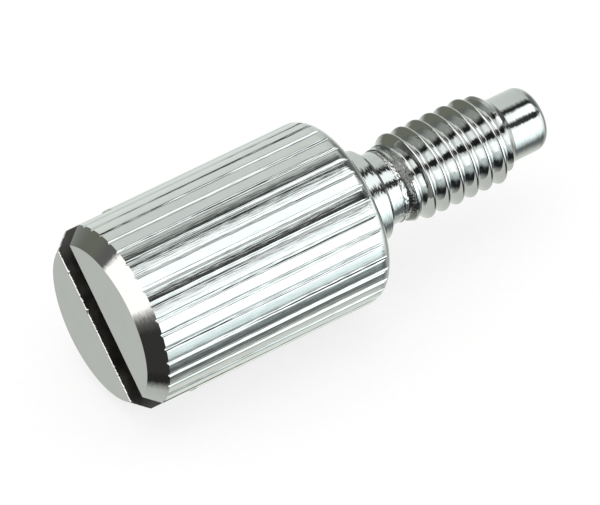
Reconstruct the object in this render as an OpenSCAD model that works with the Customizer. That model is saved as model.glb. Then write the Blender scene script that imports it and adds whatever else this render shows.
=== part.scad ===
// Slotted thumb screw: a knurled cylindrical head, a plain collar, an undercut neck,
// an M4 thread and a dog point, all turned on one axis from one bar.
// The axis runs along X. The seat under the head is at X = 0, the tip points to +X,
// and the screw lies on the side of its head, on the land between two knurl grooves.

/* [Head] */
// Diameter over the knurl
head_d = 8; // [6.5:0.1:10]
// Length from the slotted face to the seat
head_l = 11.6; // [8:0.1:16]
// Radial size of the bevel round the slotted face
bevel_r = 0.58; // [0.3:0.02:0.8]
// Axial size of the bevel round the slotted face
bevel_l = 0.7; // [0.3:0.05:1.2]
// Radius of the round where the side runs over to the seat
seat_round = 0.7; // [0.3:0.05:0.9]

/* [Knurl] */
// Number of straight grooves round the head
knurl_n = 39; // [24:1:44]
// Width of a groove at the surface
knurl_w = 0.26; // [0.15:0.01:0.4]
// Depth of a groove
knurl_h = 0.12; // [0.08:0.01:0.22]
// Width of the flat at the bottom of a groove
knurl_floor = 0.04; // [0.02:0.01:0.1]

/* [Driver slot] */
// Width of the slot
slot_w = 1.45; // [0.8:0.05:1.8]
// Depth of the slot below the face
slot_h = 2.35; // [0.6:0.05:3]
// Direction of the slot, turned from straight down
slot_turn = 131.4; // [0:0.1:180]

/* [Shank] */
// Diameter of the plain collar under the head
collar_d = 3.96; // [3.6:0.02:4.4]
// Length of the collar
collar_l = 1.3; // [0.6:0.1:2.5]
// Bevel at the free edge of the collar
collar_break = 0.08; // [0.04:0.02:0.2]
// Diameter of the undercut neck
neck_d = 3.12; // [3:0.01:3.14]
// Length of the neck, as far as the first trace of thread
neck_l = 0.83; // [0.4:0.01:2]
// Diameter of the dog point
dog_d = 2.78; // [2.4:0.02:3]
// Length of the dog point
dog_l = 1.83; // [1:0.01:3]
// Radius of the round at the tip
tip_round = 0.58; // [0.2:0.02:0.8]

/* [Thread] */
// Pitch of the M4 coarse thread
pitch = 0.7; // [0.5:0.05:0.8]
// Diameter over the crests
thread_d = 3.89; // [3.8:0.01:4]
// Diameter at the bottom of the thread
root_d = 3.16; // [3.16:0.01:3.24]
// Length of thread, tapers included
thread_l = 5.54; // [3:0.01:12]
// Length over which the thread grows out of the neck
run_in = 0.88; // [0.5:0.02:1.2]
// Length over which the thread dies away to the dog point
run_out = 0.67; // [0.4:0.01:1.0]
// Width of the crest, its two rounded edges included
crest_w = 0.2; // [0.14:0.01:0.24]
// Turn of the thread about the axis
thread_turn = -59; // [-180:1:180]

/* [Hidden] */

$fn = 120;
eps = 0.5;                            // overlap between the parts of one solid
nickel = [0.80, 0.81, 0.80];

head_r = head_d / 2;
collar_r = collar_d / 2;
neck_r = neck_d / 2;
dog_r = dog_d / 2;
thread_start = collar_l + neck_l;
thread_end = thread_start + thread_l;
tip = thread_end + dog_l;

// Thread section: one pitch of it, as [distance from the crest centre, radius]
flank_angle = 30;
thread_r = thread_d / 2;
root_r = root_d / 2;
crest_round = 0.05;                   // drop of the crest's rounded edges
root_round = 0.03;                    // rise of the root's rounded edges
flank_l = (thread_r - crest_round - root_r - root_round) * tan(flank_angle);
foot = crest_w / 2 + flank_l;         // crest centre to the bottom of the flank
section = [
    [-crest_w / 2, thread_r - crest_round],
    [-crest_w / 5, thread_r],
    [crest_w / 5, thread_r],
    [crest_w / 2, thread_r - crest_round],
    [foot, root_r + root_round],
    [pitch / 2, root_r],
    [pitch - foot, root_r + root_round],
];

// Thread mesh: a strip of section points that climbs one pitch a turn
steps = 44;                           // steps in one turn
rows = len(section);
hidden_l = 1.2 * pitch;               // length of strip hidden in the neck
turns = ceil((thread_l + hidden_l) / pitch + 0.3);
strip_steps = turns * steps;
strip_start = thread_start - hidden_l;
strip_end = strip_start + pitch * (strip_steps / steps + 1);

// Radius of the two tapers at height z. Each goes on inward past the end of the thread,
// so the strip sinks into the neck and the dog point along a clean ring.
function taper_in(z) = neck_r + (z - thread_start) * (thread_r - neck_r) / run_in;
function taper_out(z) = dog_r + (thread_end - z) * (thread_r - dog_r) / run_out;

// Point i of the section at step j of the helix
function thread_point(j, i) =
    let (a = j * 360 / steps,
         z = strip_start + pitch * j / steps + section[i][0],
         r = min(section[i][1], taper_in(z), taper_out(z)))
    [r * cos(a), r * sin(a), z];

// The row after the last one is the first row, one turn later
function thread_index(j, i) = i < rows ? j * rows + i : (j + steps) * rows;

// Turned blank of the head: flat face, bevel, straight side and a round to the seat
module head_profile() {
    difference() {
        polygon([
            [0, -head_l],
            [head_r - bevel_r, -head_l],
            [head_r, bevel_l - head_l],
            [head_r, 0],
            [0, 0],
        ]);
        translate([head_r - seat_round, -seat_round])
            outer_corner(seat_round);
    }
}

// What a round of radius r removes from a square outer corner
module outer_corner(r) {
    difference() {
        square(r + eps);
        circle(r);
    }
}

// One straight V groove of the knurl, with its small flat floor
module knurl_groove() {
    half_top = knurl_w / 2 * (knurl_h + eps) / knurl_h;
    translate([0, 0, -head_l - eps])
        linear_extrude(head_l + 2 * eps)
            polygon([
                [head_r - knurl_h, -knurl_floor / 2],
                [head_r + eps, -half_top],
                [head_r + eps, half_top],
                [head_r - knurl_h, knurl_floor / 2],
            ]);
}

// Screwdriver slot, sawn right across the face
module driver_slot() {
    rotate(slot_turn)
        translate([-head_d, -slot_w / 2, -head_l - eps])
            cube([2 * head_d, slot_w, slot_h + eps]);
}

module head() {
    difference() {
        rotate_extrude() head_profile();
        for (k = [0 : knurl_n - 1])
            rotate((k + 0.5) * 360 / knurl_n) knurl_groove();
        driver_slot();
    }
}

// Collar with its small edge bevel, and the neck below the thread's root
module collar_and_neck() {
    rotate_extrude()
        polygon([
            [0, -eps],
            [collar_r, -eps],
            [collar_r, collar_l - collar_break],
            [collar_r - collar_break, collar_l],
            [neck_r, collar_l],
            [neck_r, thread_start + run_in / 2],
            [0, thread_start + run_in / 2],
        ]);
}

// Dog point with its rounded tip
module dog_point() {
    root = thread_end - run_out / 2;
    rotate_extrude()
        difference() {
            translate([0, root])
                square([dog_r, tip - root]);
            translate([dog_r - tip_round, tip - tip_round])
                outer_corner(tip_round);
        }
}

// Right-hand thread, closed at both ends out of sight inside the neck and the dog point
module thread() {
    low_cap = (strip_steps + steps + 1) * rows;
    high_cap = low_cap + 1;
    points = concat(
        [for (j = [0 : strip_steps + steps], i = [0 : rows - 1]) thread_point(j, i)],
        [[0, 0, strip_start], [0, 0, strip_end]]
    );
    skin = [
        for (j = [0 : strip_steps - 1], i = [0 : rows - 1], half = [0, 1])
            half == 0
                ? [thread_index(j, i), thread_index(j, i + 1), thread_index(j + 1, i)]
                : [thread_index(j + 1, i), thread_index(j, i + 1), thread_index(j + 1, i + 1)]
    ];
    low_end = concat(
        [for (j = [0 : steps - 1]) [low_cap, thread_index(j, 0), thread_index(j + 1, 0)]],
        [for (i = [0 : rows - 1]) [low_cap, thread_index(0, i + 1), thread_index(0, i)]]
    );
    high_end = concat(
        [for (j = [strip_steps : strip_steps + steps - 1])
            [high_cap, thread_index(j + 1, 0), thread_index(j, 0)]],
        [for (i = [0 : rows - 1])
            [high_cap, thread_index(strip_steps, i), thread_index(strip_steps, i + 1)]]
    );
    rotate(thread_turn)
        polyhedron(points, concat(skin, low_end, high_end), convexity = 10);
}

module thumb_screw() {
    color(nickel)
        rotate([0, 90, 0]) {
            head();
            collar_and_neck();
            thread();
            dog_point();
        }
}

thumb_screw();
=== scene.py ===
"""Slotted thumb screw: a turned and knurled pin with a rolled thread, bright nickel plated.

Sizes are in millimetres and each piece is brought to metres when it is finished. The axis runs
along X: the seat under the head is at X = 0 and the point is towards +X. Angles round the axis
are in degrees from +Y up towards +Z.
"""

import logging
import math
import random
from dataclasses import dataclass, field
from enum import Enum
from typing import Iterable, Sequence

import bmesh
import bpy
from mathutils import Matrix, Vector, noise


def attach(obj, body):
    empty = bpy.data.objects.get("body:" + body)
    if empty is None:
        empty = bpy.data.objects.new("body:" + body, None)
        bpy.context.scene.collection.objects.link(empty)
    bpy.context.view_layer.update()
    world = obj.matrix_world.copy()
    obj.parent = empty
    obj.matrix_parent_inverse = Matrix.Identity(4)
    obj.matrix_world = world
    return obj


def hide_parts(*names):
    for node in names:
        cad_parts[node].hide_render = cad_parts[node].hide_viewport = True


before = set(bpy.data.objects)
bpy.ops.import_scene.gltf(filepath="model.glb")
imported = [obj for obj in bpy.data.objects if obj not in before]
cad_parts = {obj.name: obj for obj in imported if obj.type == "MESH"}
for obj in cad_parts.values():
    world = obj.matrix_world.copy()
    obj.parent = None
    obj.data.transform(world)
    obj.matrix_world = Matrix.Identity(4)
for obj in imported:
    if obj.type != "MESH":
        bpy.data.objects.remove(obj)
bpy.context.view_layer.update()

logging.basicConfig(level=logging.INFO, format="%(message)s")
log = logging.getLogger("thumb_screw")

MM = 0.001                     # one millimetre, in metres
WHITE = (1.0, 1.0, 1.0, 1.0)
Station = tuple[float, float]  # place along the axis and radius, in mm


class Cut(Enum):
    """How a surface was made, which sets the way its fine marks run."""

    TURNED = "turned"      # fine rings, which fray a reflection into a jagged edge
    POINTED = "pointed"    # a finer cut at the point: bands with smoother edges
    BROKEN = "broken"      # the bevel that breaks the collar's edge: dull, and painted dark grey as the shade at the collar's step down to the neck
    FACED = "faced"        # nearly flat and free of marks: one even grey
    KNURLED = "knurled"    # pressed: long scores that run along the grooves
    ROLLED = "rolled"      # burnished by the die: the sharpest mirror of all
    TORN = "torn"          # where the die slipped: dark, rough and speckled
    SAWN = "sawn"          # scored by the saw's teeth and dull; painted dark as the shade inside the slot
    BURRED = "burred"      # thrown up by the saw: a bright ragged line


# --------------------------------------------------------------------------- small tools


def linear(code: str) -> tuple[float, float, float, float]:
    """Turns an sRGB hex colour to linear.

    Args:
        code: The colour, such as "#C8C9C6".

    Returns:
        Red, green, blue and an alpha of 1.
    """
    parts = [int(code[i:i + 2], 16) / 255 for i in (1, 3, 5)]
    red, green, blue = (
        p / 12.92 if p <= 0.04045 else ((p + 0.055) / 1.055) ** 2.4 for p in parts)
    return red, green, blue, 1.0


def add_node(tree: bpy.types.NodeTree, kind: str, links: dict | None = None,
             **settings: object) -> bpy.types.Node:
    """Adds a node with its settings and its incoming links.

    Args:
        tree: The node tree that it goes in.
        kind: The node's type.
        links: What feeds each input, by the input's name or number: a socket or a constant.
        settings: The node's own properties.

    Returns:
        The new node.
    """
    node = tree.nodes.new(kind)
    for name, value in settings.items():
        setattr(node, name, value)
    for name, source in (links or {}).items():
        if isinstance(source, bpy.types.NodeSocket):
            tree.links.new(source, node.inputs[name])
        else:
            node.inputs[name].default_value = source
    return node


def object_mode() -> None:
    """Goes back to object mode with nothing selected."""
    if bpy.context.object and bpy.context.object.mode != "OBJECT":
        bpy.ops.object.mode_set(mode="OBJECT")
    bpy.ops.object.select_all(action="DESELECT")


def activate(piece: bpy.types.Object) -> None:
    """Makes a piece the only one selected, and the active one.

    Args:
        piece: The piece.
    """
    object_mode()
    piece.select_set(True)
    bpy.context.view_layer.objects.active = piece


def face_outwards() -> None:
    """Turns the faces of the closed piece that is being edited outwards."""
    bpy.ops.mesh.select_all(action="SELECT")
    bpy.ops.mesh.normals_make_consistent(inside=False)
    mesh = bmesh.from_edit_mesh(bpy.context.object.data)
    if mesh.calc_volume(signed=True) < 0:
        bpy.ops.mesh.flip_normals()
    object_mode()


def turned(name: str, stations: Sequence[Station], segments: int) -> bpy.types.Object:
    """Turns a closed solid about X: a disc is extruded and resized from station to station.

    Args:
        name: Name of the object.
        stations: The profile, in mm.
        segments: Number of segments round the axis.

    Returns:
        The solid, in mm.
    """
    object_mode()
    x, r = stations[0]
    bpy.ops.mesh.primitive_circle_add(vertices=segments, radius=r, fill_type="NGON",
                                      location=(x, 0, 0), rotation=(0, math.pi / 2, 0))
    piece = bpy.context.object
    piece.name = name
    bpy.ops.object.transform_apply(location=True, rotation=True, scale=True)
    bpy.ops.object.mode_set(mode="EDIT")
    bpy.ops.mesh.select_mode(type="FACE")
    bpy.ops.mesh.select_all(action="SELECT")
    for next_x, next_r in stations[1:]:
        bpy.ops.mesh.extrude_region_move(TRANSFORM_OT_translate={"value": (next_x - x, 0, 0)})
        scale = next_r / r
        if abs(scale - 1) > 1e-9:
            bpy.ops.transform.resize(value=(1, scale, scale), center_override=(next_x, 0, 0))
        x, r = next_x, next_r
    bpy.ops.mesh.select_all(action="SELECT")
    bpy.ops.mesh.normals_make_consistent(inside=False)
    object_mode()
    return piece


def arc(centre: Station, radius: float, start: float, end: float, steps: int) -> list[Station]:
    """Gives the stations of a round in the profile.

    Args:
        centre: Centre of the round, along the axis and out from it.
        radius: Its radius.
        start: Angle of its first point, in degrees from straight out towards +X.
        end: Angle of its last point.
        steps: Number of steps between them.

    Returns:
        The stations, both ends included.
    """
    x, r = centre
    angles = [math.radians(start + (end - start) * i / steps) for i in range(steps + 1)]
    return [(x + radius * math.sin(a), r + radius * math.cos(a)) for a in angles]


def combine(piece: bpy.types.Object, other: bpy.types.Object, operation: str) -> None:
    """Joins another solid to a piece, or cuts it from it, and removes the other.

    Args:
        piece: The piece that is changed.
        other: The solid that is joined or cut.
        operation: The Boolean modifier's operation.
    """
    activate(piece)
    modifier = piece.modifiers.new("combine", "BOOLEAN")
    modifier.operation = operation
    modifier.solver = "MANIFOLD"
    modifier.material_mode = "TRANSFER"
    modifier.object = other
    bpy.ops.object.modifier_apply(modifier=modifier.name)
    bpy.data.objects.remove(other)


def move_out(vertex: bpy.types.MeshVertex, x: float, new_r: float) -> None:
    """Puts a mesh point at a new place along the axis and at a new radius.

    Args:
        vertex: The point.
        x: Its place along the axis.
        new_r: Its distance from the axis.
    """
    _, y, z = vertex.co
    scale = new_r / math.hypot(y, z)
    vertex.co = (x, y * scale, z * scale)


def to_metres(piece: bpy.types.Object) -> None:
    """Brings a piece to metres, with its place in its mesh.

    Args:
        piece: The piece, built in mm.
    """
    activate(piece)
    bpy.ops.object.mode_set(mode="EDIT")
    bpy.ops.mesh.select_all(action="SELECT")
    bpy.ops.transform.resize(value=(MM, MM, MM), center_override=(0, 0, 0))
    object_mode()


# --------------------------------------------------------------------------- finishes


@dataclass(frozen=True)
class BrightNickel:
    """Bright nickel plating over machined steel.

    To the eye it is a mirror a little darker and warmer than chrome. What the tool left under
    the plating still shows as fine lines that break up the reflections.
    """

    cut: Cut
    light: str = "#C4C4C3"
    dark: str = "#BCBCBB"
    cloud_size: float = 0.9       # mm across a patch of the lighter or the darker tone
    roughness: float = 0.06
    haze: tuple[float, float] = (0.8, 1.25)  # shares of the roughness that it varies between
    mark_size: float = 0.05       # mm across one tool mark
    mark_run: float = 8.0         # length of a mark, in times its width
    mark_depth: float = 0.0012    # mm
    ripple_size: float = 0.7      # mm across a slow ripple
    ripple_depth: float = 0.001   # mm
    chatter: float = 0.0          # how far chatter tips the surface round the axis, in radians
    chatter_along: float = 0.045  # mm along the axis in one chatter mark
    chatter_round: float = 0.30   # mm round the axis

    def material(self) -> bpy.types.Material:
        """Builds the material.

        Returns:
            The material, named for its cut.
        """
        made = bpy.data.materials.new(f"bright_nickel_{self.cut.value}")
        made.use_nodes = True
        tree = made.node_tree
        tree.nodes.clear()
        place = add_node(tree, "ShaderNodeTexCoord").outputs["Object"]
        ripple = add_node(tree, "ShaderNodeTexNoise", {
            "Vector": place, "Scale": 1 / (self.ripple_size * MM), "Detail": 1.0})
        cloud = add_node(tree, "ShaderNodeTexNoise", {
            "Vector": place, "Scale": 1 / (self.cloud_size * MM), "Detail": 4.0})
        tone = add_node(tree, "ShaderNodeMix", {
            0: cloud.outputs["Fac"], 6: linear(self.dark), 7: linear(self.light)},
            data_type="RGBA")
        low, high = self.haze
        haze = add_node(tree, "ShaderNodeMapRange", {
            "Value": cloud.outputs["Fac"], "From Min": 0.3, "From Max": 0.7,
            "To Min": self.roughness * low, "To Max": self.roughness * high})
        slow = add_node(tree, "ShaderNodeBump", {
            "Height": ripple.outputs["Fac"], "Distance": self.ripple_depth * MM,
            "Strength": 1.0, "Normal": self.chattered(tree, place)})
        bump = add_node(tree, "ShaderNodeBump", {
            "Height": self.marks(tree, place), "Distance": self.mark_depth * MM,
            "Strength": 1.0, "Normal": slow.outputs["Normal"]})
        shader = add_node(tree, "ShaderNodeBsdfPrincipled", {
            "Base Color": tone.outputs[2], "Metallic": 1.0,
            "Roughness": haze.outputs["Result"], "Normal": bump.outputs["Normal"]})
        add_node(tree, "ShaderNodeOutputMaterial", {"Surface": shader.outputs["BSDF"]})
        return made

    def marks(self, tree: bpy.types.NodeTree, place: bpy.types.NodeSocket) -> bpy.types.NodeSocket:
        """Adds the tool marks: lines round the axis, or along it on the knurl.

        Args:
            tree: The material's node tree.
            place: The object coordinates.

        Returns:
            The height of the marks, from 0 to 1.
        """
        fine = 1 / (self.mark_size * MM)
        slow = fine / self.mark_run
        stretch = (slow, fine, fine) if self.cut is Cut.KNURLED else (fine, slow, slow)
        run = add_node(tree, "ShaderNodeVectorMath", {0: place, 1: stretch}, operation="MULTIPLY")
        lines = add_node(tree, "ShaderNodeTexNoise", {
            "Vector": run.outputs["Vector"], "Scale": 1.0, "Detail": 3.0})
        return lines.outputs["Fac"]

    def chattered(self, tree: bpy.types.NodeTree,
                  place: bpy.types.NodeSocket) -> bpy.types.NodeSocket:
        """Adds chatter, which tips the surface to and fro round the axis.

        It frays the reflections across the axis, and leaves them sharp along it.

        Args:
            tree: The material's node tree.
            place: The object coordinates.

        Returns:
            The surface normal with the chatter in it.
        """
        along, about = 1 / (self.chatter_along * MM), 1 / (self.chatter_round * MM)
        spot = add_node(tree, "ShaderNodeVectorMath", {0: place, 1: (along, about, about)},
                        operation="MULTIPLY")
        wave = add_node(tree, "ShaderNodeTexNoise", {
            "Vector": spot.outputs["Vector"], "Scale": 1.0, "Detail": 1.0})
        tip = add_node(tree, "ShaderNodeMapRange", {
            "Value": wave.outputs["Fac"], "From Min": 0.3, "From Max": 0.7,
            "To Min": -self.chatter, "To Max": self.chatter})
        normal = add_node(tree, "ShaderNodeNewGeometry").outputs["Normal"]
        around = add_node(tree, "ShaderNodeVectorMath", {0: (1.0, 0.0, 0.0), 1: normal},
                          operation="CROSS_PRODUCT")
        push = add_node(tree, "ShaderNodeVectorMath", {
            0: around.outputs["Vector"], "Scale": tip.outputs["Result"]}, operation="SCALE")
        tipped = add_node(tree, "ShaderNodeVectorMath", {0: normal, 1: push.outputs["Vector"]},
                          operation="ADD")
        return add_node(tree, "ShaderNodeVectorMath", {0: tipped.outputs["Vector"]},
                        operation="NORMALIZE").outputs["Vector"]


# --------------------------------------------------------------------------- the screw


@dataclass
class Head:
    """The head: a faced and bevelled end, a straight knurl and a round down to the seat."""

    radius: float = 4.0
    length: float = 11.6
    bevel_out: float = 0.58
    bevel_along: float = 0.7
    seat_round: float = 0.7
    grooves: int = 39
    land: float = 268.0           # middle of the lowest land, degrees round the axis
    groove_width: float = 0.25
    groove_depths: tuple[float, float] = (0.048, 0.085)  # at the bevel and at the seat
    steps: int = 28               # mesh steps in one pitch of the knurl
    rows: int = 32                # rows of mesh along the knurl
    lead: float = 0.6             # distance of the first row from the bevel, in rows
    round_steps: int = 8
    seat_flat: float = 0.06       # plain ring inside the seat's round
    wander: float = 0.02          # sideways wander of a groove, in pitches
    wander_run: float = 0.5       # mm along a groove from one swerve to the next
    uneven: float = 0.30          # share by which its depth varies along it
    uneven_run: float = 0.3       # mm from one swell to the next
    apart: float = 3.7            # keeps the noise of one groove apart from the next one's
    # the knurl's tones are paler than the plating elsewhere: painted sheen, standing in for the
    # glints along its lands
    finish: BrightNickel = BrightNickel(
        Cut.KNURLED, light="#CECECD", dark="#C2C2C1", roughness=0.07, mark_size=0.06,
        mark_run=30.0, mark_depth=0.0045, chatter=0.022, chatter_along=0.6, chatter_round=0.05)
    faced: BrightNickel = BrightNickel(
        Cut.FACED, light="#BEBEBD", dark="#B6B6B5", mark_depth=0.0001, ripple_depth=0.0004,
        chatter=0.014)

    def build(self) -> bpy.types.Object:
        """Turns the blank of the head and presses the knurl into it.

        Returns:
            The head, in mm, closed at the face and at the seat.
        """
        first, last = self.bevel_along - self.length, -self.seat_round
        step = (last - first) / (self.rows + self.lead)
        rows = [(first + step * (i + self.lead), self.radius) for i in range(self.rows)]
        seat_r = self.radius - self.seat_round
        seat = arc((-self.seat_round, seat_r), self.seat_round, 0, 90, self.round_steps)
        stations = [(-self.length, self.radius - self.bevel_out), (first, self.radius),
                    *rows, *seat, (0.0, seat_r - self.seat_flat)]
        piece = turned("head", stations, self.grooves * self.steps)
        self.press(piece, stations)
        self.dress(piece)
        return piece

    def depth(self, angle: float, x: float) -> float:
        """Gives the depth of the knurl at a place on the head.

        Args:
            angle: Degrees round the axis.
            x: Place along the axis, in mm.

        Returns:
            How far the surface lies below the turned radius, in mm.
        """
        pitch = 360 / self.grooves
        groove = math.floor((angle - self.land) / pitch) % self.grooves
        slip = noise.noise(Vector((x / self.wander_run, groove * self.apart, 0.0)))
        swell = noise.noise(Vector((x / self.uneven_run, groove * self.apart, 5.0)))
        off = (angle - self.land) / pitch % 1 - 0.5 + self.wander * slip
        across = abs(off) * 2 * math.pi * self.radius / self.grooves / (self.groove_width / 2)
        if across >= 1:
            return 0.0
        shallow, deep = self.groove_depths
        along = min(1.0, max(0.0, (x + self.length) / self.length))
        depth = (shallow + (deep - shallow) * along) * (1 + self.uneven * swell)
        return depth * (1 + math.cos(math.pi * across)) / 2

    def press(self, piece: bpy.types.Object, stations: Sequence[Station]) -> None:
        """Presses the knurl: each point goes in to the depth of its groove.

        The bevel and the seat round cut the grooves off along their own curved edges.

        Args:
            piece: The turned blank.
            stations: Its profile.
        """
        bevel = 1
        seat = len(stations) - self.round_steps - 2
        for vertex in piece.data.vertices:
            x, y, z = vertex.co
            r = math.hypot(y, z)
            row = min(range(len(stations)),
                      key=lambda i: abs(stations[i][0] - x) + abs(stations[i][1] - r))
            if row in (0, len(stations) - 1):
                continue
            depth = self.depth(math.degrees(math.atan2(z, y)), x)
            if row == bevel:
                x, new_r = x - depth * self.bevel_along / self.bevel_out, r - depth
            elif row < seat:
                new_r = r - depth
            else:
                start = math.acos(1 - depth / self.seat_round)
                a = start + (math.pi / 2 - start) * (row - seat) / self.round_steps
                x = -self.seat_round + self.seat_round * math.sin(a)
                new_r = self.radius - self.seat_round + self.seat_round * math.cos(a)
            move_out(vertex, x, new_r)

    def dress(self, piece: bpy.types.Object) -> None:
        """Gives the knurl, and the faced and bevelled surfaces, their finishes.

        Args:
            piece: The head.
        """
        piece.data.materials.append(self.finish.material())
        piece.data.materials.append(self.faced.material())
        edge = self.bevel_along - self.length
        for face in piece.data.polygons:
            face.material_index = int(face.center.x < edge - 0.01 or abs(face.normal.x) > 0.9)


@dataclass
class Slot:
    """The screwdriver slot, sawn right across the face, and the burr along one of its edges."""

    width: float = 1.45
    depth: float = 2.35
    direction: float = 41.4       # degrees round the axis
    reach: float = 4.6            # half the length of the saw's cut
    face_r: float = 3.42          # radius where the head's bevel starts
    side_r: float = 4.0           # radius where it ends
    bevel_along: float = 0.7
    burr_size: float = 0.048
    burr_least: float = 0.55      # smallest share of that size, between two jags
    burr_steps: int = 230
    burr_end: float = 0.02        # how far the burr stops short of the head's side
    burr_over: float = 0.25       # share of its size by which it hangs over the slot
    nicks: tuple[tuple[float, float, float], ...] = (
        (1.1, 0.7, 0.06), (0.5, 2.4, 0.05))  # its two lumps: size, place along it and spread
    # the walls' dark greys are painted shade, for the shade inside the slot, on a scored, dull
    # surface
    finish: BrightNickel = BrightNickel(
        Cut.SAWN, light="#6A6865", dark="#4E4C4A", roughness=0.4, mark_size=0.06, mark_run=6.0,
        mark_depth=0.004)
    burred: BrightNickel = BrightNickel(Cut.BURRED, roughness=0.15, mark_depth=0.0)

    def cutter(self, face_x: float) -> bpy.types.Object:
        """Makes the saw's cut as a solid.

        Args:
            face_x: Place of the slotted face along the axis.

        Returns:
            The solid to cut from the head, in mm.
        """
        object_mode()
        bpy.ops.mesh.primitive_cube_add(size=1, location=(0, 0, 0))
        piece = bpy.context.object
        piece.name = "slot_cutter"
        piece.scale = (2 * self.depth, 2 * self.reach, self.width)
        bpy.ops.object.transform_apply(location=True, rotation=True, scale=True)
        bpy.ops.object.mode_set(mode="EDIT")
        bpy.ops.mesh.select_all(action="SELECT")
        bpy.ops.transform.rotate(value=-math.radians(self.direction), orient_axis="X",
                                 center_override=(0, 0, 0))
        bpy.ops.transform.translate(value=(face_x, 0, 0))
        object_mode()
        piece.data.materials.append(self.finish.material())
        piece.data.materials.append(self.burred.material())
        for face in piece.data.polygons:  # the slot's floor keeps the plating's own colour; the scored walls are painted dark, as shade in the slot
            face.material_index = int(abs(face.normal.x) > 0.9)
        return piece

    def burr(self, face_x: float) -> bpy.types.Object:
        """Draws the burr that the saw turned up along one edge of the slot.

        It runs across the face and down over the bevel at both ends. Its size jumps from step
        to step, and it hangs a little over the slot.

        Args:
            face_x: Place of the slotted face along the axis.

        Returns:
            The burr as a thin closed solid, in mm.
        """
        rng = random.Random(11)
        angle = math.radians(self.direction)
        along = Vector((0, math.cos(angle), math.sin(angle)))
        across = Vector((0, -math.sin(angle), math.cos(angle)))
        half = self.width / 2
        flat = math.sqrt(self.face_r ** 2 - half ** 2)
        rim = math.sqrt(self.side_r ** 2 - half ** 2)
        end = rim - self.burr_end
        object_mode()
        bpy.ops.mesh.primitive_circle_add(vertices=5, radius=1.0, fill_type="NGON",
                                          location=(0, 0, 0), rotation=(math.pi / 2, 0, 0))
        piece = bpy.context.object
        piece.name = "burr"
        bpy.ops.object.transform_apply(location=True, rotation=True, scale=True)
        bpy.ops.object.mode_set(mode="EDIT")
        bpy.ops.mesh.select_mode(type="FACE")
        bpy.ops.mesh.select_all(action="SELECT")
        bpy.ops.transform.rotate(value=-angle, orient_axis="X", center_override=(0, 0, 0))
        here, size = Vector((0, 0, 0)), 1.0
        for i in range(self.burr_steps + 1):
            run = -end + 2 * end * i / self.burr_steps
            down = max(0.0, abs(run) - flat) / (rim - flat) * self.bevel_along
            nick = sum(gain * math.exp(-((run - at) / spread) ** 2)
                       for gain, at, spread in self.nicks)
            jag = self.burr_least + (1 - self.burr_least) * rng.random()
            new_size = self.burr_size * (jag + nick)
            middle = (along * run - across * (half - new_size * self.burr_over)
                      + Vector((face_x + down + new_size, 0, 0)))
            if i == 0:
                bpy.ops.transform.translate(value=middle)
            else:
                bpy.ops.mesh.extrude_region_move(
                    TRANSFORM_OT_translate={"value": middle - here})
            scale = new_size / size
            bpy.ops.transform.resize(value=(scale, scale, scale), center_override=middle)
            here, size = middle, new_size
        bpy.ops.mesh.select_all(action="SELECT")
        bpy.ops.mesh.normals_make_consistent(inside=False)
        object_mode()
        piece.data.materials.append(self.burred.material())
        return piece


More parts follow.
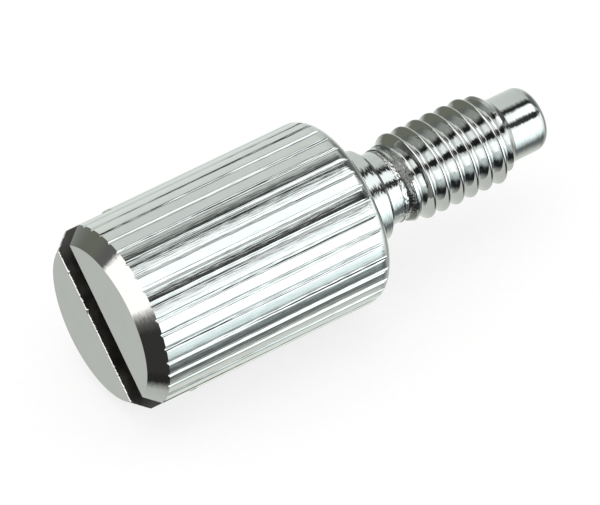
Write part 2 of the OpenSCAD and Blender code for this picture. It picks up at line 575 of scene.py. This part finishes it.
@dataclass
class Shank:
    """The plain collar, the undercut neck, the core under the thread and the dog point."""

    collar_r: float = 1.98
    collar_end: float = 1.42
    collar_break: float = 0.19    # bevel at the collar's free edge
    neck_r: float = 1.56
    core_step: float = 2.57
    dog_r: float = 1.39
    tip: float = 9.5
    tip_round: float = 0.58
    segments: int = 256
    torn_span: tuple[float, float] = (2.03, 2.46)  # broken rings that the die left on the neck
    torn_steps: int = 28
    torn_depth: float = 0.023
    torn_grain: tuple[float, float] = (0.045, 0.15)  # mm along and round the axis
    torn_edge: float = 0.06       # mm over which the roughness sets in
    rings: tuple[float, ...] = (2.09, 2.33)  # the two deepest rings
    ring_size: float = 0.022      # half the width of such a ring
    ring_gain: float = 1.4        # its depth, in times the torn depth
    finish: BrightNickel = BrightNickel(
        Cut.TURNED, mark_size=0.05, mark_run=12.0, mark_depth=0.0012, chatter=0.055)
    point: BrightNickel = BrightNickel(
        Cut.POINTED, mark_size=0.08, mark_run=12.0, mark_depth=0.0012, chatter=0.018,
        chatter_along=0.08)
    # the bevel's dark greys are painted shade, for the shade where the collar steps down to the
    # neck
    edge: BrightNickel = BrightNickel(
        Cut.BROKEN, light="#8C8C8A", dark="#5E5E5C", roughness=0.16, mark_size=0.05,
        mark_run=10.0, mark_depth=0.0030, chatter=0.05)

    def build(self) -> bpy.types.Object:
        """Turns the shank from the seat to the tip.

        Returns:
            The shank, in mm. It starts inside the head.
        """
        bevel = self.collar_end - self.collar_break
        collar = [(-0.5, self.collar_r), (-0.001, self.collar_r), (0.05, self.collar_r),
                  (bevel, self.collar_r), (self.collar_end, self.collar_r - self.collar_break),
                  (self.collar_end, self.neck_r)]
        low, high = self.torn_span
        neck = [(low + (high - low) * i / self.torn_steps, self.neck_r)
                for i in range(self.torn_steps + 1)]
        core = [(self.core_step, self.neck_r), (self.core_step, self.dog_r)]
        tip = arc((self.tip - self.tip_round, self.dog_r - self.tip_round),
                  self.tip_round, 0, 90, 10)
        piece = turned("shank", [*collar, *neck, *core, *tip], self.segments)
        self.tear(piece)
        self.dress(piece)
        return piece

    def tear(self, piece: bpy.types.Object) -> None:
        """Roughens the neck where the die first touched it, into short broken rings.

        Args:
            piece: The turned shank.
        """
        low, high = self.torn_span
        along, about = self.torn_grain
        for vertex in piece.data.vertices:
            x, y, z = vertex.co
            if not low < x < high or math.hypot(y, z) < self.neck_r - 0.01:
                continue
            rough = noise.noise(Vector((x / along, y / about, z / about)))
            ring = sum(math.exp(-((x - 0.02 * rough - place) / self.ring_size) ** 2)
                       for place in self.rings)
            height = rough * min(1.0, (x - low) / self.torn_edge) - self.ring_gain * ring
            move_out(vertex, x, self.neck_r + self.torn_depth * height)

    def dress(self, piece: bpy.types.Object) -> None:
        """Gives the shank, its point and the collar's bevel their finishes; the bevel's is painted
        dark, as the shade at the step.

        Args:
            piece: The shank.
        """
        for finish in (self.finish, self.point, self.edge):
            piece.data.materials.append(finish.material())
        bevel = self.collar_end - self.collar_break
        for face in piece.data.polygons:
            x = face.center.x
            face.material_index = int(x > self.core_step + 0.01)
            if bevel < x < self.collar_end + 0.001:
                face.material_index = 2


@dataclass
class Thread:
    """The M4 thread: one strip of section wound round the core, tapered at both ends."""

    pitch: float = 0.7
    flank_angle: float = 60.0     # between a flank and the axis
    crest_r: float = 1.945
    crest_w: float = 0.11         # the crest is one round of this width
    crest_steps: int = 6
    root_r: float = 1.50
    root_round: float = 0.05
    root_steps: int = 5
    start: float = 2.13
    end: float = 7.70
    run_in: float = 0.88
    run_out: float = 0.80
    neck_r: float = 1.56
    dog_r: float = 1.39
    lip: float = 0.04             # height of the ridge where it leaves the neck
    growth: float = 2.0           # power of the curve along which it grows
    fall: float = 1.5             # power of the curve along which it ends
    phase: float = -59.0          # turn of the thread about the axis
    steps: int = 96
    weld: float = 0.002           # points closer than this become one
    torn_to: float = 2.66         # the torn flank of the first ridge ends here
    ragged_out: float = 0.02      # mm by which the first ridge is ragged in height
    ragged_along: float = 0.015   # and along the axis
    finish: BrightNickel = BrightNickel(
        Cut.ROLLED, roughness=0.03, mark_size=0.05, mark_run=8.0, mark_depth=0.0008,
        ripple_depth=0.0006, chatter=0.035, chatter_along=0.06)
    torn: BrightNickel = BrightNickel(
        Cut.TORN, light="#90908E", dark="#3A3A38", roughness=0.11, mark_size=0.08, mark_run=1.3,
        mark_depth=0.03)

    def section(self) -> list[Station]:
        """Gives one pitch of the thread's section, from crest centre to crest centre.

        Returns:
            Place along the axis from the crest centre, and radius, with rounded crest and root.
        """
        half = self.crest_w / 2
        slope = math.radians(self.flank_angle)
        crest_round = half / math.sin(slope)
        turns = [slope * i / self.crest_steps for i in range(self.crest_steps + 1)]
        crest = [(crest_round * math.sin(a), self.crest_r + crest_round * (math.cos(a) - 1))
                 for a in turns]
        top, bottom = crest[-1][1], self.root_r + self.root_round * (1 - math.cos(slope))
        foot = half + (top - bottom) / math.tan(slope)
        middle = foot + self.root_round * math.sin(slope)
        turns = [slope * i / self.root_steps for i in range(self.root_steps, -1, -1)]
        root = [(middle - self.root_round * math.sin(a),
                 self.root_r + self.root_round * (1 - math.cos(a))) for a in turns]
        near = [*crest, ((half + foot) / 2, (top + bottom) / 2), *root]
        if middle < self.pitch / 2 - 0.01:
            near.append((self.pitch / 2, self.root_r))
        far = [(self.pitch - x, r) for x, r in reversed(near[:-1])]
        return near + far

    def build(self) -> bpy.types.Object:
        """Draws one pitch of the section, winds it round the axis and trims it to the tapers.

        Returns:
            The thread, in mm, closed at both ends out of sight inside the shank.
        """
        object_mode()
        hidden = 1.2 * self.pitch  # the strip's first turn lies inside the neck
        turns = math.ceil((self.end - self.start + hidden) / self.pitch + 0.3)
        section = self.section()
        bpy.ops.mesh.primitive_plane_add(size=1, location=(0, 0, 0))
        piece = bpy.context.object
        piece.name = "thread"
        bpy.ops.object.mode_set(mode="EDIT")
        bpy.ops.mesh.select_mode(type="VERT")
        bpy.ops.mesh.select_all(action="SELECT")
        bpy.ops.mesh.merge(type="CENTER")
        bpy.ops.transform.translate(value=(self.start - hidden, 0, section[0][1]))
        for (x0, r0), (x1, r1) in zip(section, section[1:]):
            bpy.ops.mesh.extrude_vertices_move(
                TRANSFORM_OT_translate={"value": (x1 - x0, 0, r1 - r0)})
        bpy.ops.mesh.select_all(action="SELECT")
        bpy.ops.transform.rotate(value=math.radians(180 - self.phase), orient_axis="X",
                                 center_override=(0, 0, 0))
        activate(piece)
        screw = piece.modifiers.new("wind", "SCREW")
        screw.axis = "X"
        screw.angle = 2 * math.pi
        screw.screw_offset = self.pitch
        screw.iterations = turns
        screw.steps = screw.render_steps = self.steps
        screw.use_merge_vertices = True
        screw.merge_threshold = self.weld
        bpy.ops.object.modifier_apply(modifier=screw.name)
        bpy.ops.object.mode_set(mode="EDIT")
        bpy.ops.mesh.select_all(action="SELECT")
        bpy.ops.mesh.remove_doubles(threshold=self.weld)
        object_mode()
        self.taper(piece)
        self.close(piece)
        self.dress(piece)
        return piece

    def taper(self, piece: bpy.types.Object) -> None:
        """Lets the ridge grow out of the neck and trims it at the dog point.

        The two curves that trim it go on inward past the ends of the thread. The first ridge is
        ragged, as the die leaves it.

        Args:
            piece: The wound strip.
        """
        grown_r, sunk_r = self.neck_r + self.lip, self.neck_r - 0.3
        for vertex in piece.data.vertices:
            x, y, z = vertex.co
            grown = min(1.0, max(0.0, (x - self.start) / self.run_in))
            rising = grown_r + (self.crest_r - grown_r) * grown ** self.growth
            past = max(0.0, (x - self.end) / self.run_out + 1)
            falling = self.dog_r + (self.crest_r - self.dog_r) * (1 - past ** self.fall)
            new_r = min(math.hypot(y, z), rising if x > self.start else sunk_r, falling)
            if self.start < x < self.start + self.run_in and new_r > self.root_r:
                ragged = 1 - abs(2 * grown - 1)
                spot = Vector((x / 0.07, y / 0.35, z / 0.35))
                new_r += self.ragged_out * ragged * noise.noise(spot)
                aside = noise.noise(spot + Vector((7.3, 1.9, 4.1)))
                x += self.ragged_along * ragged * aside
            move_out(vertex, x, new_r)

    def dress(self, piece: bpy.types.Object) -> None:
        """Gives the thread its finish, and the near flank of the first ridge its torn one.

        Args:
            piece: The thread.
        """
        piece.data.materials.append(self.finish.material())
        piece.data.materials.append(self.torn.material())
        for face in piece.data.polygons:
            first = self.start - 0.1 < face.center.x < self.torn_to
            face.material_index = int(first and face.normal.x < -0.2)

    def close(self, piece: bpy.types.Object) -> None:
        """Draws each open end of the strip together at the axis.

        Args:
            piece: The strip, trimmed at both ends.
        """
        middle = (self.start + self.end) / 2
        for side in (-1, 1):
            activate(piece)
            bpy.ops.object.mode_set(mode="EDIT")
            bpy.ops.mesh.select_mode(type="EDGE")
            bpy.ops.mesh.select_all(action="DESELECT")
            mesh = bmesh.from_edit_mesh(piece.data)
            for edge in mesh.edges:
                if edge.is_boundary and (edge.verts[0].co.x - middle) * side > 0:
                    edge.select_set(True)
            bmesh.update_edit_mesh(piece.data)
            bpy.ops.mesh.extrude_edges_move()
            bpy.ops.mesh.merge(type="CENTER")
        face_outwards()


@dataclass
class ThumbScrew:
    """The whole screw: one closed, plated piece."""

    head: Head = field(default_factory=Head)
    slot: Slot = field(default_factory=Slot)
    shank: Shank = field(default_factory=Shank)
    thread: Thread = field(default_factory=Thread)
    smooth_under: float = 26.0    # edges sharper than this many degrees stay crisp

    def build(self) -> bpy.types.Object:
        """Builds the parts, joins them into one solid and puts it in the CAD node's place.

        Returns:
            The finished piece, in metres.
        """
        piece = self.head.build()
        log.info("head: %d faces", len(piece.data.polygons))
        shank = self.shank.build()
        log.info("shank: %d faces", len(shank.data.polygons))
        thread = self.thread.build()
        log.info("thread: %d faces", len(thread.data.polygons))
        combine(shank, thread, "UNION")
        combine(piece, shank, "UNION")
        combine(piece, self.slot.cutter(-self.head.length), "DIFFERENCE")
        combine(piece, self.slot.burr(-self.head.length), "UNION")
        piece.name = piece.data.name = "plated_screw"
        to_metres(piece)
        activate(piece)
        bpy.ops.object.shade_smooth_by_angle(angle=math.radians(self.smooth_under))
        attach(piece, "root")
        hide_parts("thumb_screw")
        log.info("plated_screw: %d faces", len(piece.data.polygons))
        return piece


# --------------------------------------------------------------------------- the studio


class Tint(Enum):
    """The colours of the studio's panels."""

    LAMP = "#F7FFFF"
    BLUE = "#EFFFFF"
    PAPER = "#F7FFFA"
    FLOOR = "#FAFFF8"
    OLIVE = "#F8FFE8"
    WARM = "#FFFEFB"


@dataclass(frozen=True)
class Panel:
    """A light panel or a dark gap of the studio, as seen round the screw's axis."""

    start: float                  # degrees
    end: float
    level: float                  # brightness, where 1 is a white sheet
    tint: Tint = Tint.PAPER


@dataclass(frozen=True)
class Ring:
    """One round of panels, met by the directions that lean a certain way along the axis."""

    panels: tuple[Panel, ...]
    fade: tuple[float, float] = (0.0, 0.0)  # leans at which it takes over from the last one


@dataclass
class Studio:
    """The floor, the lamps and the soft panels that the plating mirrors.

    The panels stand in rounds about the screw's axis, from the head's side to the point's. What
    lies between two panels fades from one to the other. A direction's lean is the X of its unit
    vector.
    """

    floor_z: float = -0.004
    paper: str = "#F4F4F2"
    grain: float = 0.3            # mm across a speck of the paper's grain
    backlight: float = 0.75       # share of white that shows through the paper
    origin: float = 300.0         # where each round of panels starts, degrees
    turned: float = -2.0          # turn of all the rounds, degrees
    lens: float = 540.0
    camera_at: tuple[float, float, float] = (-144.871, -218.247, 251.212)  # mm
    camera_right: tuple[float, float, float] = (0.82727, -0.56154, -0.01726)
    camera_up: tuple[float, float, float] = (0.40101, 0.56871, 0.71817)
    camera_back: tuple[float, float, float] = (-0.39347, -0.60104, 0.69565)
    rings: tuple[Ring, ...] = (
        Ring((
            Panel(300, 322, 0.85, Tint.FLOOR),
            Panel(338, 28, 0.26, Tint.OLIVE),
            Panel(40, 51, 0.20, Tint.WARM),
            Panel(59, 141, 2.10, Tint.WARM),
            Panel(150, 150, 1.00, Tint.WARM),
            Panel(158, 158, 0.36, Tint.WARM),
            Panel(166, 166, 0.18, Tint.WARM),
            Panel(180, 234, 0.06, Tint.WARM),
            Panel(240, 248, 0.04, Tint.WARM),
            Panel(260, 300, 0.87, Tint.FLOOR),
        )),
        Ring((
            Panel(300, 338, 0.90, Tint.FLOOR),
            Panel(350, 22, 0.40),
            Panel(44, 60, 0.88),
            Panel(76, 80, 0.50),
            Panel(94, 116, 1.90, Tint.LAMP),
            Panel(130, 141, 0.08),
            Panel(150, 152, 1.40, Tint.LAMP),
            Panel(163, 186, 3.00, Tint.LAMP),
            Panel(200, 200, 1.20, Tint.BLUE),
            Panel(216, 238, 0.05, Tint.BLUE),
            Panel(252, 252, 0.60, Tint.FLOOR),
            Panel(268, 300, 0.90, Tint.FLOOR),
        ), (-0.35, -0.10)),
        Ring((
            Panel(300, 340, 1.00),
            Panel(352, 20, 1.12),
            Panel(34, 66, 1.00),
            Panel(78, 89, 0.07),
            Panel(95, 124, 1.80, Tint.LAMP),
            Panel(131, 139, 0.05),
            Panel(147, 150, 1.60, Tint.LAMP),
            Panel(162, 190, 1.68, Tint.LAMP),
            Panel(200, 200, 1.48, Tint.BLUE),
            Panel(209, 209, 1.05, Tint.BLUE),
            Panel(220, 240, 0.18, Tint.BLUE),
            Panel(248, 252, 0.98, Tint.FLOOR),
            Panel(266, 300, 1.06, Tint.FLOOR),
        ), (0.28, 0.35)),
        Ring((
            Panel(300, 66, 1.04),
            Panel(79, 89, 0.05),
            Panel(100, 119, 1.80, Tint.LAMP),
            Panel(129, 141, 0.08),
            Panel(147, 150, 1.70, Tint.LAMP),
            Panel(160, 184, 3.00, Tint.LAMP),
            Panel(196, 200, 1.90, Tint.BLUE),
            Panel(212, 212, 1.15, Tint.BLUE),
            Panel(226, 238, 0.26, Tint.BLUE),
            Panel(252, 252, 0.62, Tint.FLOOR),
            Panel(268, 300, 0.92, Tint.FLOOR),
        ), (0.388, 0.396)),
        Ring((
            Panel(300, 64, 0.92),
            Panel(76, 88, 0.05),
            Panel(98, 118, 2.90, Tint.LAMP),
            Panel(125, 142, 0.04),
            Panel(148, 150, 2.20, Tint.LAMP),
            Panel(160, 186, 3.90, Tint.LAMP),
            Panel(190, 204, 1.85, Tint.BLUE),
            Panel(214, 214, 0.90, Tint.BLUE),
            Panel(224, 244, 0.22, Tint.BLUE),
            Panel(262, 262, 0.50, Tint.FLOOR),
            Panel(280, 300, 0.70, Tint.FLOOR),
        ), (0.425, 0.50)),
        Ring((
            Panel(300, 340, 0.55),
            Panel(28, 90, 0.20),
            Panel(98, 110, 0.80, Tint.LAMP),
            Panel(124, 138, 0.15),
            Panel(158, 205, 1.70, Tint.LAMP),
            Panel(250, 250, 0.80, Tint.FLOOR),
            Panel(268, 300, 0.45, Tint.FLOOR),
        ), (0.66, 0.84)),
    )

    def floor(self) -> None:
        """Lays the sheet of pale paper that the screw lies on, lit a little from below."""
        object_mode()
        bpy.ops.mesh.primitive_plane_add(size=2.0, location=(0, 0, self.floor_z))
        sheet = bpy.context.object
        sheet.name = "paper_floor"
        bpy.ops.object.transform_apply(location=True, rotation=True, scale=True)
        sheet.visible_glossy = False
        made = bpy.data.materials.new("matt_paper")
        made.use_nodes = True
        tree = made.node_tree
        tree.nodes.clear()
        place = add_node(tree, "ShaderNodeTexCoord").outputs["Object"]
        grain = add_node(tree, "ShaderNodeTexNoise", {
            "Vector": place, "Scale": 1 / (self.grain * MM), "Detail": 3.0})
        tone = add_node(tree, "ShaderNodeMix", {
            0: grain.outputs["Fac"], 6: linear(self.paper), 7: WHITE}, data_type="RGBA")
        matt = add_node(tree, "ShaderNodeBsdfPrincipled", {
            "Base Color": tone.outputs[2], "Roughness": 0.9})
        glow = add_node(tree, "ShaderNodeEmission", {"Color": WHITE, "Strength": 1.0})
        ray = add_node(tree, "ShaderNodeLightPath")
        share = add_node(tree, "ShaderNodeMath", {
            0: ray.outputs["Is Camera Ray"], 1: self.backlight}, operation="MULTIPLY")
        both = add_node(tree, "ShaderNodeMixShader", {
            0: share.outputs[0], 1: matt.outputs[0], 2: glow.outputs[0]})
        add_node(tree, "ShaderNodeOutputMaterial", {"Surface": both.outputs[0]})
        sheet.data.materials.append(made)

    def ramp(self, tree: bpy.types.NodeTree, turn: bpy.types.NodeSocket,
             panels: Iterable[Panel]) -> bpy.types.NodeSocket:
        """Adds the colours met on one turn round the axis.

        Args:
            tree: The world's node tree.
            turn: The turn round the axis, from 0 to 1, counted from the studio's origin.
            panels: The panels, in order from the origin.

        Returns:
            The colour.
        """
        node = add_node(tree, "ShaderNodeValToRGB", {"Fac": turn})
        stops = []
        for panel in panels:
            red, green, blue, _ = (part * panel.level for part in linear(panel.tint.value))
            for angle in sorted({panel.start, panel.end}, key=lambda edge: edge == panel.end):
                place = (angle - self.origin) % 360 / 360
                if stops and place == 0:
                    place = 1.0
                stops.append((place, (red, green, blue, 1.0)))
        ramp = node.color_ramp
        ramp.interpolation = "LINEAR"
        ramp.elements[0].position, ramp.elements[0].color = stops[0]
        ramp.elements[1].position, ramp.elements[1].color = stops[-1]
        for place, colour in stops[1:-1]:
            element = ramp.elements.new(place)
            element.color = colour
        return node.outputs["Color"]

    def world(self) -> None:
        """Sets the world: white to the eye, and the round of panels to the plating."""
        world = bpy.data.worlds.new("studio")
        bpy.context.scene.world = world
        world.use_nodes = True
        tree = world.node_tree
        tree.nodes.clear()
        way = add_node(tree, "ShaderNodeTexCoord").outputs["Generated"]
        split = add_node(tree, "ShaderNodeSeparateXYZ", {0: way})
        angle = add_node(tree, "ShaderNodeMath", {0: split.outputs["Z"], 1: split.outputs["Y"]},
                         operation="ARCTAN2")
        turns = add_node(tree, "ShaderNodeMath", {
            0: angle.outputs[0], 1: 1 / (2 * math.pi), 2: 2 - (self.origin + self.turned) / 360},
            operation="MULTIPLY_ADD")
        turn = add_node(tree, "ShaderNodeMath", {0: turns.outputs[0]}, operation="FRACT").outputs[0]
        panels = self.ramp(tree, turn, self.rings[0].panels)
        for ring in self.rings[1:]:
            low, high = ring.fade
            side = add_node(tree, "ShaderNodeMapRange", {
                "Value": split.outputs["X"], "From Min": low, "From Max": high})
            panels = add_node(tree, "ShaderNodeMix", {
                0: side.outputs["Result"], 6: panels, 7: self.ramp(tree, turn, ring.panels)},
                data_type="RGBA").outputs[2]
        ray = add_node(tree, "ShaderNodeLightPath")
        seen = add_node(tree, "ShaderNodeMix", {
            0: ray.outputs["Is Glossy Ray"], 6: WHITE, 7: panels}, data_type="RGBA")
        back = add_node(tree, "ShaderNodeBackground", {"Color": seen.outputs[2], "Strength": 1.0})
        add_node(tree, "ShaderNodeOutputWorld", {"Surface": back.outputs[0]})

    def lamps(self) -> None:
        """Hangs one wide soft lamp over the screw, for the shadow on the floor."""
        lamp = bpy.data.lights.new("overhead", "AREA")
        lamp.shape = "RECTANGLE"
        lamp.size, lamp.size_y = 0.5, 0.4  # metres
        lamp.energy = 0.5                  # watts
        holder = bpy.data.objects.new("overhead", lamp)
        bpy.context.scene.collection.objects.link(holder)
        holder.matrix_world = Matrix.Translation((-0.1, 0.1, 0.45)) @ Matrix.Rotation(0.15, 4, "X")
        holder.visible_glossy = False

    def camera(self) -> None:
        """Sets the camera: a long lens, looking down on the slotted face and along the shank."""
        data = bpy.data.cameras.new("camera")
        data.lens = self.lens
        data.sensor_width = 36
        data.clip_start, data.clip_end = 0.01, 10
        camera = bpy.data.objects.new("camera", data)
        bpy.context.scene.collection.objects.link(camera)
        turn = Matrix((self.camera_right, self.camera_up, self.camera_back)).transposed()
        place = Matrix.Translation(Vector(self.camera_at) * MM)
        camera.matrix_world = place @ turn.to_4x4()
        bpy.context.scene.camera = camera

    def build(self) -> None:
        """Sets the whole studio up."""
        self.floor()
        self.world()
        self.lamps()
        self.camera()
        bpy.context.scene.view_settings.view_transform = "Standard"


def main() -> None:
    """Builds the screw and the studio."""
    screw = ThumbScrew()
    screw.build()
    Studio().build()


if __name__ == "__main__":
    main()
